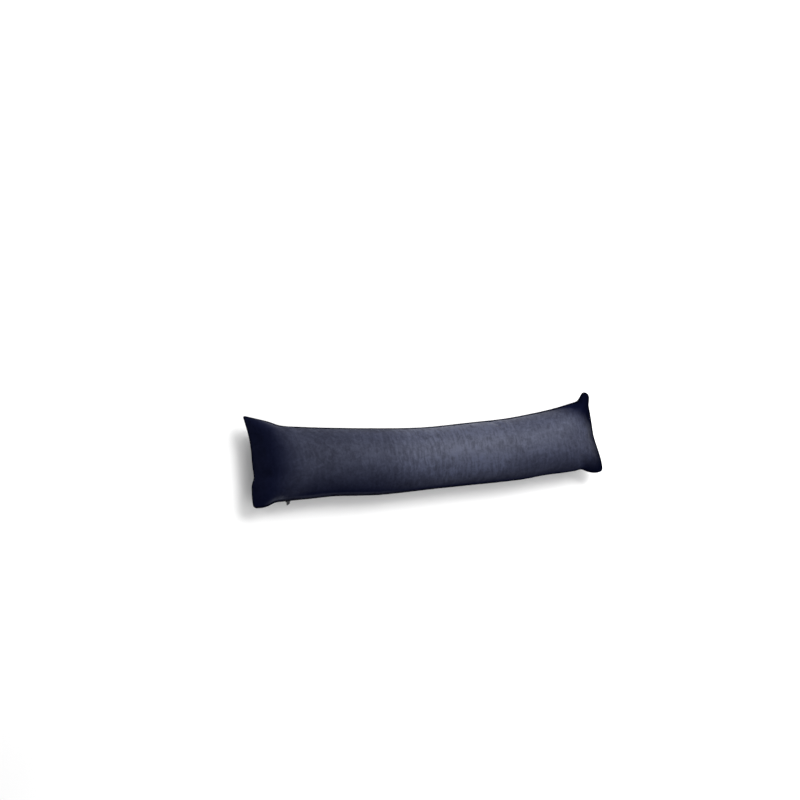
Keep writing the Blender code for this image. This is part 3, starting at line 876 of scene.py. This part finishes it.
def cushion_mesh(front, rear, flat, zipper):
    """The closed mesh, and what the zip needs to know of its near seam."""
    columns, rows = front.shape[:2]
    size = columns * rows
    rim = rim_of(columns, rows)
    count = len(rim)
    rings, middle, inward = seam_rings(front, rear, rim, zipper)
    points = [front.reshape(-1, 3), rear.reshape(-1, 3)]
    points += [ring for pair in rings[:-1] for ring in pair]
    points.append(rings[-1][0])
    front_loop = rim[:, 0] * rows + rim[:, 1]
    chain = [front_loop]
    chain += [np.arange(count) + 2 * size + k * count for k in (0, 2, 4, 3, 1)]
    chain.append(front_loop + size)
    faces = panel_faces(columns, rows, 0, True) + panel_faces(columns, rows, size, False)
    faces += rim_faces([ring.tolist() for ring in chain], count)
    mesh = new_mesh("velvet_cushion", np.concatenate(points).tolist(), faces)
    smooth_shaded(mesh)
    cloth_map(mesh, flat, rim, count)
    return mesh, {"middle": middle[:columns], "inward": inward[:columns], "front": front, "rear": rear}


def cloth_map(mesh, flat, rim, count):
    """A UV map in metres of cut cloth, with the panels side by side and each rim band beside its own."""
    flat_rim = flat[rim[:, 0], rim[:, 1]]
    half = np.abs(flat_rim).max(axis=0)
    out = np.sign(np.round(flat_rim / half, 6)) * np.isclose(np.abs(flat_rim), half)
    bands = [flat_rim + out * depth for depth in BAND_DEPTHS]
    places = np.concatenate([flat.reshape(-1, 2), flat.reshape(-1, 2), *bands])
    corners = np.empty(len(mesh.loops), np.int32)
    mesh.loops.foreach_get("vertex_index", corners)
    panel_count = (flat.shape[0] - 1) * (flat.shape[1] - 1)
    behind = np.zeros(len(mesh.polygons), bool)
    behind[panel_count : 2 * panel_count] = True
    behind[2 * panel_count + 3 * count :] = True
    uv = places[corners] + FRONT_MIDDLE
    uv[np.repeat(behind, 4), 1] += REAR_SHIFT
    layer = mesh.uv_layers.new(name="cut cloth")
    layer.data.foreach_set("uv", uv.astype(np.float32).ravel())


# What the sewing leaves for the zip: the near seam's line, the way into the cushion and the stitch lines
SEWN = {}


class SeamFrame:
    """A place on the near seam: along it, into the cushion, and up."""

    def __init__(self, x):
        middle, inward = SEWN["middle"], SEWN["inward"]
        self.place = np.array([np.interp(x, middle[:, 0], middle[:, k]) for k in range(3)])
        into = np.array([np.interp(x, middle[:, 0], inward[:, k]) for k in range(3)])
        into[2] = 0.0
        self.into = into / np.linalg.norm(into)
        self.up = np.array([0.0, 0.0, 1.0])
        self.along = np.cross(self.into, self.up)

    def point(self, y=0.0, z=0.0):
        return self.place + self.into * y + self.up * z

    def matrix(self):
        turn = Matrix([self.along, self.into, self.up]).transposed().to_4x4()
        return Matrix.Translation(Vector(self.place)) @ turn


def zip_stations(zipper):
    count = round(zipper.length / STATION_STEP)
    return [SeamFrame(x) for x in np.linspace(zipper.start, zipper.start + zipper.length, count + 1)]


def swept(shape, loops, closed_ends=True):
    """Skins a run of equal loops of points, and caps its two ends."""
    rings = [[shape.verts.new(point) for point in loop] for loop in loops]
    for first, second in zip(rings, rings[1:]):
        for k in range(len(first)):
            after = (k + 1) % len(first)
            shape.faces.new((first[k], first[after], second[after], second[k]))
    if closed_ends:
        shape.faces.new(rings[0])
        shape.faces.new(rings[-1])


def round_section(radius, sides):
    turns = [2 * math.pi * k / sides for k in range(sides)]
    return [(radius * math.cos(a), radius * math.sin(a)) for a in turns]


def mesh_of(name, shape):
    """Ends a bmesh as a smooth mesh."""
    mesh = bpy.data.meshes.new(name)
    shape.to_mesh(mesh)
    shape.free()
    smooth_shaded(mesh)
    return mesh


def shape_to_piece(name, shape, material):
    bmesh.ops.recalc_face_normals(shape, faces=shape.faces)
    return add_object(name, mesh_of(name, shape), material)


def softened(piece, width, angle=0.6, segments=3):
    """Rounds the piece's sharp edges, and leaves a plain mesh."""
    edge = piece.modifiers.new("rounded edges", "BEVEL")
    edge.width = width
    edge.segments = segments
    edge.limit_method = "ANGLE"
    edge.angle_limit = angle
    edge.harden_normals = True
    mesh = evaluated_mesh(piece.name, piece)
    old = piece.data
    piece.modifiers.clear()
    piece.data = mesh
    bpy.data.meshes.remove(old)
    return piece


def joined(name, pieces, place, material):
    """One mesh of several closed shells, moved to its place."""
    shape = bmesh.new()
    for piece in pieces:
        shape.from_mesh(piece.data)
        bpy.data.objects.remove(piece)
    bmesh.ops.transform(shape, matrix=place, verts=shape.verts)
    return add_object(name, mesh_of(name, shape), material)


def plate(name, outline, y_back, y_front, material):
    """A flat plate in the plane of X and Z from one depth to another."""
    shape = bmesh.new()
    swept(shape, [[(x, y, z) for x, z in outline] for y in (y_back, y_front)])
    return shape_to_piece(name, shape, material)


def coil_pattern(zipper, look):
    """Both rows of the closed coil: hairpin turns on a pitch, the lower row half a pitch on."""
    tree = Pattern(
        "zip coil",
        pitch=zipper.pitch,
        wire=zipper.wire,
        reach=0.0021,
        head=0.00112,
        depth=0.0012,
        material=look,
    )
    pitch, wire, reach, head, depth = tree.sizes("pitch", "wire", "reach", "head", "depth")
    both = tree.node("GeometryNodeJoinGeometry")
    for side, shift in ((1.0, 0.0), (-1.0, 0.5)):
        top, bottom, back = reach * side, head * -side, reach * (side * 0.4)
        slant = pitch * 0.2
        turn = tree.bent_tube(
            wire,
            7,
            tree.vector(0.0, wire, top),
            tree.vector(0.0, wire, bottom),
            tree.vector(slant, depth * 1.3, bottom),
            tree.vector(slant, depth, back),
        )
        moved = {"Geometry": turn, "Translation": tree.vector(pitch * shift)}
        row = tree.repeated(tree.node("GeometryNodeTransform", None, moved), pitch)
        tree.feed(both.socket.node.inputs["Geometry"], row)
    tree.finish(both)
    return tree


def stitch_pattern(zipper, look, rise):
    """A running stitch: short bent threads whose ends go into the cloth."""
    tree = Pattern(
        "placket stitches",
        stitch=zipper.stitch,
        gap=zipper.stitch_gap,
        thread=zipper.thread,
        rise=rise,
        material=look,
    )
    stitch, gap, thread, lift = tree.sizes("stitch", "gap", "thread", "rise")
    half, inner, sunk, high = stitch * 0.5, stitch * 0.32, lift * -0.8, lift * 1.1
    bent = tree.bent_tube(
        thread,
        6,
        tree.vector(half * -1.0, 0.0, sunk),
        tree.vector(inner * -1.0, 0.0, high),
        tree.vector(inner, 0.0, high),
        tree.vector(half, 0.0, sunk),
    )
    tree.finish(tree.repeated(bent, stitch + gap))
    return tree


def zip_tape(zipper, look):
    """The tape behind the coil, and the two rows of thread that hold the coil on it."""
    shape = bmesh.new()
    half = zipper.slit / 2 - 0.00006
    sections = [[(TAPE_FRONT, -half), (TAPE_BACK, -half), (TAPE_BACK, half), (TAPE_FRONT, half)]]
    for row in (-THREAD_ROW, THREAD_ROW):
        sections.append([(y + 0.00004, z + row) for y, z in round_section(THREAD_RADIUS, 6)])
    stations = zip_stations(zipper)
    for section in sections:
        swept(shape, [[station.point(y, z) for y, z in section] for station in stations])
    return shape_to_piece("zip_tape", shape, look)


def slider_outline(length, wide, narrow, corner):
    """The slider's outline: wide shoulders at its open end, narrow where the closed coil leaves it."""
    half = length / 2
    side = [(-half, 0.55 * wide), (-half + corner, wide), (-0.1 * half, wide), (0.5 * half, narrow)]
    side += [(half - 0.5 * corner, narrow), (half, narrow - 0.5 * corner)]
    return side + [(x, -z) for x, z in side[::-1]]


def slider_bail(lacquer):
    """The round bar that the pull hangs on, bent out of the slider and back into it."""
    bend, side, out = 0.0011, 0.0022, -0.0038
    turns = np.linspace(0.3, 1.57, 6)
    rail = [(-0.0033, -0.0012), (-0.0033, out)]
    rail += [(-side - bend * math.cos(a), out - bend * math.sin(a)) for a in turns]
    rail += [(-x, y) for x, y in rail[::-1]]
    loops = []
    for k, (x, y) in enumerate(rail):
        before, after = rail[max(k - 1, 0)], rail[min(k + 1, len(rail) - 1)]
        run = np.array([after[0] - before[0], after[1] - before[1]])
        run /= np.linalg.norm(run)
        loops.append([(x - run[1] * a, y + run[0] * a, b) for a, b in round_section(0.0007, 12)])
    shape = bmesh.new()
    swept(shape, loops)
    return shape_to_piece("slider_bail", shape, lacquer)


def make_slider(zipper, lacquer):
    """The slider's stepped casting and its bail."""
    outline = slider_outline(length=0.0120, wide=0.00335, narrow=0.0027, corner=0.0016)
    base = softened(plate("slider_base", outline, -0.0003, -0.0017, lacquer), 0.00035)
    outline = slider_outline(length=0.0098, wide=0.0025, narrow=0.0018, corner=0.0012)
    crest = softened(plate("slider_crest", outline, -0.0015, -0.0026, lacquer), 0.0004)
    place = SeamFrame(zipper.start + SLIDER_IN).matrix()
    return joined("zip_slider_cast", [base, crest, slider_bail(lacquer)], place, lacquer)


def pull_outline(length, inset):
    """The pull's outline in X and Z: shoulders under the knuckle, then a taper to a round tip."""
    half_top, half_tip, shoulder, taper = 0.0040, 0.0018, -0.0024, -0.0042
    top, tip = half_top - inset, half_tip - inset
    points = [(-top, shoulder - inset), (-top, taper)]
    for k in range(9):
        angle = math.pi + math.pi * k / 8
        points.append((tip * math.cos(angle), tip * math.sin(angle) + half_tip - length))
    return points + [(top, taper), (top, shoulder - inset)]


def pull_blade(zipper, lacquer):
    """The pull's plate, sunk inside its rim on both faces."""
    shape = bmesh.new()
    rims = []
    for inset, depth in ((0.0, 0.0007), (0.0007, 0.0007), (0.0010, 0.00045)):
        outline = pull_outline(zipper.pull_length, inset)
        rims.append([[shape.verts.new((x, side * depth, z)) for x, z in outline] for side in (-1, 1)])
    bands = [rims[0]]
    bands += [(outer[side], inner[side]) for outer, inner in zip(rims, rims[1:]) for side in (0, 1)]
    count = len(rims[0][0])
    for k in range(count):
        after = (k + 1) % count
        for first, second in bands:
            shape.faces.new((first[k], first[after], second[after], second[k]))
    for side in (0, 1):
        shape.faces.new(rims[-1][side])
    return softened(shape_to_piece("pull_blade", shape, lacquer), 0.00022, 0.5, 2)


def pull_knuckle(lacquer):
    """The pull's knuckle: a short tube round the bail's bar, with softened rims."""
    inner, rim, outer, half, flat = 0.0010, 0.0016, 0.0019, 0.0025, 0.0022
    ring = [(-half, inner), (half, inner), (half, rim), (flat, outer), (-flat, outer), (-half, rim)]
    loops = []
    for k in range(25):
        angle = 2 * math.pi * k / 24
        loops.append([(x, radius * math.cos(angle), radius * math.sin(angle)) for x, radius in ring])
    shape = bmesh.new()
    swept(shape, loops, False)
    bmesh.ops.remove_doubles(shape, verts=shape.verts, dist=1e-7)
    return shape_to_piece("pull_knuckle", shape, lacquer)


def make_pull(zipper, lacquer):
    """The pull: a tapered plate under a knuckle that turns on the bail's bar."""
    blade = pull_blade(zipper, lacquer)
    knuckle = pull_knuckle(lacquer)
    outline = [(-0.0023, -0.0034), (0.0023, -0.0034), (0.0021, -0.0014), (-0.0021, -0.0014)]
    neck = softened(plate("pull_neck", outline, -0.0006, 0.0006, lacquer), 0.0002)
    lean = Matrix.Rotation(-PULL_LEAN, 4, "X")
    place = SeamFrame(zipper.start + SLIDER_IN).matrix() @ Matrix.Translation((0, -BAIL_OUT, 0)) @ lean
    return joined("zip_pull_plate", [blade, knuckle, neck], place, lacquer)


def painted_light_share(look, x, y, seam, mass):
    """Painted light and shade, partly the pile's lay: the share of the glossy lit copy, little at both
    ends, the near side, the far rim and the seams, most in the middle, with painted highlights on the left
    ears, the near seam's lip and a tuck.
    """
    # Painted shade at both ends: the dark right end slants past these lines, and the lit share falls over
    # the left and right thirds
    slant = FAR_SLANT * look.maths("MAXIMUM", y - FAR_LINE, 0.0)
    slant = slant + NEAR_SLANT * look.maths("MAXIMUM", -NEAR_LINE - y, 0.0)
    start = x + look.ramp(abs(y), *LEFT_END_EARS) + look.ramp(y, *LEFT_END_NEAR)
    along = look.ramp(x, *LEFT_THIRD) * look.ramp(start, *LEFT_END)
    along = along * look.ramp(x, *RIGHT_THIRD) * look.ramp(x + slant, *RIGHT_END)
    fade = look.ramp(x, *ZIP_FADE)
    # Painted highlight along the lip of the near seam beside the zip
    lip = look.ramp(x, *LIP_START) * fade * look.ramp(y, *LIP_TOP) * look.ramp(y, *LIP_FOOT)
    # Painted shade over the near side, lower at the left and higher by the zip
    low = y + look.ramp(x, *NEAR_SIDE_LEFT) - look.ramp(x, *NEAR_SIDE_ZIP) * fade
    # Painted shade along the far rim at the left
    rim = look.ramp(x, *FAR_RIM_LEFT) * look.ramp(y, *FAR_RIM)
    # No lit pile on the seam line itself: a painted dark line along every seam
    across = (look.ramp(low, *NEAR_SIDE) * (1.0 - rim) + lip) * look.ramp(seam, *SEAM_LINE)
    # Painted highlights on the two left ears
    ear = look.ramp(abs(x + EAR_MIDDLE), *EAR_WIDTH) * look.ramp(seam, *EAR_SEAM)
    ear = ear * (look.ramp(y, *FAR_EAR) + look.ramp(y, *NEAR_EAR))
    # Painted highlight on a tuck by the near left ear
    tuck = look.ramp(abs(x + TUCK_MIDDLE - TUCK_SLANT * y), *TUCK_WIDTH)
    tuck = tuck * look.ramp(y, *TUCK_FOOT) * look.ramp(y, *TUCK_TOP)
    return ((along * across + ear + tuck) * (0.52 + 0.96 * mass)).clamped()


def velvet(finish, cover):
    """Short-pile velvet: brushed strokes, crushed patches and fine pile, with painted light and shade,
    partly the pile's lay: a matt dark copy and a glossy lit copy, mixed by a fixed mask that is dark at the
    ends, the near side and the seams and bright in the middle.
    """
    look = Finish("brushed_velvet")
    cloth = look.node("ShaderNodeUVMap", {"uv_map": "cut cloth"})
    split = look.node("ShaderNodeSeparateXYZ", None, {0: cloth})
    x = split - FRONT_MIDDLE[0]
    row = split.also(1)
    between = FRONT_MIDDLE[1] + REAR_SHIFT / 2
    y = row - FRONT_MIDDLE[1] - REAR_SHIFT * look.maths("GREATER_THAN", row, between)
    seam = look.maths("MINIMUM", cover.cut_length / 2 - abs(x), cover.cut_width / 2 - abs(y))
    sway = look.noise(look.stretched(cloth, (9.0, 5.0, 1.0)), 1.0)
    swayed = {0: sway, 1: (0.016, 0.006, 0.0), 2: cloth}
    turned = look.node("ShaderNodeVectorMath", {"operation": "MULTIPLY_ADD"}, swayed)
    stroke, crush = 1.0 / finish.stroke, 1.0 / finish.crush
    strokes = look.noise(look.stretched(turned, (stroke, 0.22 * stroke, 1.0), 0.15), 1.0, 3.0, 0.6)
    crushed = look.noise(turned, crush, detail=3.0, roughness=0.65, distortion=0.8)
    cells = look.noise(turned, 3.0 * crush, detail=2.0, roughness=0.6, distortion=0.5)
    broad = look.noise(look.stretched(cloth, (11.0, 16.0, 1.0)), 1.0)
    pile = look.noise(cloth, 1100.0, detail=2.0, roughness=0.7)
    brushed = look.ramp(x, *STROKED_MIDDLE) * look.ramp(x, *SMOOTHER_RIGHT)
    mass = brushed * look.ramp(strokes, *STROKES) + look.ramp(crushed, *CRUSHED)
    mass = mass + look.ramp(cells, *CELLS) + look.ramp(broad, *BROAD) + look.ramp(pile, *PILE)
    # Painted shade: the matt copy goes nearly black along every seam, and darker at the right end
    shut = look.ramp(seam, *PAINTED_SEAM_SHADE) * look.ramp(x, *PAINTED_SEAM_SHADE_RIGHT)
    dark_pile_and_painted_shade, painted_lit_pile = tuple(finish.dark_pile_and_painted_shade), tuple(finish.painted_lit_pile)
    shade = mass.clamped()
    painted_shade_colour = look.blend(shade, tuple(0.5 * c for c in dark_pile_and_painted_shade), dark_pile_and_painted_shade)
    soft = look.bump(0.5 * strokes + 0.8 * crushed, 0.22, 0.0016)
    fibre = look.bump(pile, 0.30, 0.0004, Normal=soft)
    # First surface: the matt dark copy with no gloss, painted shade with the pile's darker tones
    look.surface_is(
        Base_Color=look.blend(shut, (0.0, 0.0, 0.0), painted_shade_colour),
        Roughness=0.7,
        Normal=fibre,
        Specular_IOR_Level=0.0,
    )
    # Second surface: the glossy lit copy, painted light, mixed in by the painted light share
    look.mixed_with(
        painted_light_share(look, x, y, seam, mass),
        Base_Color=look.blend(shade, dark_pile_and_painted_shade, painted_lit_pile),
        Roughness=0.70 - 0.10 * mass,
        Normal=fibre,
        Specular_IOR_Level=finish.gloss,
        Specular_Tint=(0.90, 0.92, 1.0, 1.0),
    )
    return look.material


def nylon(name, base, grain):
    """Nylon thread, coil or tape: a fine twist and a soft shine."""
    look = Finish(name)
    place = look.stretched(look.object_place(), (grain, 0.35 * grain, 0.35 * grain))
    twist = look.noise(place, 1.0)
    shade = look.ramp(twist, 0.3, 0.7)
    look.surface_is(
        Base_Color=look.blend(shade, tuple(0.7 * c for c in base), tuple(1.5 * c for c in base)),
        Roughness=0.42 + 0.18 * shade,
        Normal=look.bump(twist, 0.3, 0.0002),
    )
    return look.material


def lacquered_metal(finish):
    """Dark lacquer on a small casting, a little worn and uneven."""
    look = Finish("lacquered_metal")
    place = look.object_place()
    cloudy = look.noise(place, 900.0, 3.0, 0.6)
    scratched = look.noise(look.stretched(place, (500.0, 4000.0, 4000.0)), 1.0)
    worn = look.ramp(cloudy * 0.6 + scratched * 0.4, 0.48, 0.66)
    metal = tuple(finish.metal)
    look.surface_is(
        Base_Color=look.blend(worn, metal, tuple(2.2 * c for c in metal)),
        Metallic=0.12 * worn,
        Roughness=0.44 + 0.20 * cloudy,
        Normal=look.bump(cloudy, 0.15, 0.0003),
        Specular_IOR_Level=0.25,
    )
    return look.material


def pale_floor(finish):
    """A pale, matt floor with a faint mottle."""
    look = Finish("pale_floor")
    mottle = look.noise(look.object_place(), 3.0, 3.0)
    dim, bright = [tuple(min(level * c, 1.0) for c in finish.floor) for level in (0.97, 1.03)]
    look.surface_is(Base_Color=look.blend(mottle, dim, bright), Roughness=0.9, Specular_IOR_Level=0.1)
    return look.material


class SewCushion(bpy.types.Operator):
    """Cuts, sews, fills and settles the velvet cover"""

    bl_idname = "draught.sew_cushion"
    bl_label = "Sew and fill the cushion"

    def execute(self, context):
        cover, zipper = context.scene.draught_cover, context.scene.draught_zip
        mesh, seam = sew_cushion(cover, zipper)
        SEWN.update(seam)
        cushion = add_object("velvet_cushion", mesh, velvet(context.scene.draught_finish, cover))
        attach(cushion, BODY)
        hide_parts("cushion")
        return {"FINISHED"}


class FitZipChain(bpy.types.Operator):
    """Winds the closed coil into the slit of the near seam, on its tape"""

    bl_idname = "draught.fit_zip_chain"
    bl_label = "Fit the zip's coil and tape"

    def execute(self, context):
        needed("velvet_cushion")
        zipper, finish = context.scene.draught_zip, context.scene.draught_finish
        look = nylon("zip_nylon", finish.coil, 2600.0)
        path = np.array([station.point() for station in zip_stations(zipper)])
        coil = coil_pattern(zipper, look).made_on("zip_coil", path)
        tape = zip_tape(zipper, look)
        for piece in (coil, tape):
            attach(piece, BODY)
        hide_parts("zip_chain")
        return {"FINISHED"}


class StitchPlacket(bpy.types.Operator):
    """Sews a row of stitches along both edges of the zip's slit"""

    bl_idname = "draught.stitch_placket"
    bl_label = "Stitch the zip in"

    def execute(self, context):
        needed("velvet_cushion")
        zipper, finish = context.scene.draught_zip, context.scene.draught_finish
        look = nylon("sewing_thread", [1.6 * c for c in finish.coil], 4200.0)
        margin, line_row, rise = 0.004, 3, 0.00024
        for side, lift in (("front", rise), ("rear", -rise)):
            line = SEWN[side][:, line_row]
            past_start = line[:, 0] > zipper.start - margin
            before_end = line[:, 0] < zipper.start + zipper.length + margin
            path = line[past_start & before_end]
            stitches = stitch_pattern(zipper, look, lift).made_on(side + "_stitches", path)
            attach(stitches, BODY)
        return {"FINISHED"}


class FitSlider(bpy.types.Operator):
    """Puts the slider on the coil at the end where the zip is closed"""

    bl_idname = "draught.fit_slider"
    bl_label = "Fit the slider"

    def execute(self, context):
        needed("zip_coil")
        slider = make_slider(context.scene.draught_zip, lacquered_metal(context.scene.draught_finish))
        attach(slider, BODY)
        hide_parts("zip_slider")
        return {"FINISHED"}


class HangPull(bpy.types.Operator):
    """Hangs the pull from the slider's bail"""

    bl_idname = "draught.hang_pull"
    bl_label = "Hang the pull"

    def execute(self, context):
        slider = needed("zip_slider_cast")
        pull = make_pull(context.scene.draught_zip, slider.data.materials[0])
        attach(pull, BODY)
        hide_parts("zip_pull")
        return {"FINISHED"}


def area_light(name, size, power, direction):
    """A square soft light that shines on the cushion from a direction."""
    light = bpy.data.lights.new(name, "AREA")
    light.size = size
    light.energy = power
    lamp = add_object(name, light)
    away = Vector(direction).normalized()
    lamp.location = CUSHION_MIDDLE + away * LIGHT_DISTANCE
    lamp.rotation_euler = away.to_track_quat("Z", "Y").to_euler()


def photo_camera(lens):
    """The camera at the photograph's angle."""
    level = math.cos(CAMERA_PITCH)
    away = Vector((-math.sin(CAMERA_YAW) * level, -math.sin(CAMERA_PITCH), math.cos(CAMERA_YAW) * level))
    right = Vector((0.0, 1.0, 0.0)).cross(away).normalized()
    up = away.cross(right)
    turned_right = math.cos(CAMERA_ROLL) * right + math.sin(CAMERA_ROLL) * up
    turned_up = math.cos(CAMERA_ROLL) * up - math.sin(CAMERA_ROLL) * right
    camera = bpy.data.cameras.new("photo_camera")
    camera.lens = lens
    camera.sensor_width = 36.0
    viewer = add_object("photo_camera", camera)
    turn = Matrix([turned_right, turned_up, away]).transposed().to_4x4()
    viewer.matrix_world = Matrix.Translation(CAMERA_TARGET + away * CAMERA_DISTANCE) @ turn
    bpy.context.scene.camera = viewer


class SetStage(bpy.types.Operator):
    """Lays the pale floor, hangs the soft lights and places the camera"""

    bl_idname = "draught.set_stage"
    bl_label = "Set the stage"

    def execute(self, context):
        stage = context.scene.draught_stage
        mesh = new_mesh("floor", *square(stage.floor_size / 2, 0.0))
        add_object("floor", mesh, pale_floor(context.scene.draught_finish))
        for name, direction, power in LIGHTS:
            area_light(name, stage.softness, power * stage.key_power, direction)
        world = bpy.data.worlds.new("even_light")
        world.use_nodes = True
        sky = world.node_tree.nodes["Background"].inputs
        sky["Color"].default_value = WHITE
        sky["Strength"].default_value = stage.sky
        context.scene.world = world
        context.scene.view_settings.view_transform = "Standard"
        photo_camera(stage.lens)
        return {"FINISHED"}


class DraughtPanel(bpy.types.Panel):
    """Lists the steps that make the draught excluder, with its sizes and colours"""

    bl_idname = "VIEW3D_PT_draught"
    bl_label = "Draught excluder"
    bl_space_type = "VIEW_3D"
    bl_region_type = "UI"
    bl_category = "Draught"

    def draw(self, context):
        for step in STEPS:
            self.layout.operator(step.bl_idname)
        for name, kind in GROUPS:
            box = self.layout.box()
            for size in kind.__annotations__:
                box.prop(getattr(context.scene, name), size)


GROUPS = (
    ("draught_cover", DraughtCover),
    ("draught_zip", DraughtZip),
    ("draught_finish", DraughtFinish),
    ("draught_stage", DraughtStage),
)
STEPS = (SewCushion, FitZipChain, StitchPlacket, FitSlider, HangPull, SetStage)


def register():
    for name, group in GROUPS:
        bpy.utils.register_class(group)
        setattr(bpy.types.Scene, name, PointerProperty(type=group))
    for kind in (*STEPS, DraughtPanel):
        bpy.utils.register_class(kind)


def unregister():
    for kind in (DraughtPanel, *reversed(STEPS)):
        bpy.utils.unregister_class(kind)
    for name, group in reversed(GROUPS):
        delattr(bpy.types.Scene, name)
        bpy.utils.unregister_class(group)


def main():
    register()
    bpy.ops.draught.sew_cushion()
    bpy.ops.draught.fit_zip_chain()
    bpy.ops.draught.stitch_placket()
    bpy.ops.draught.fit_slider()
    bpy.ops.draught.hang_pull()
    bpy.ops.draught.set_stage()


if __name__ == "__main__":
    main()
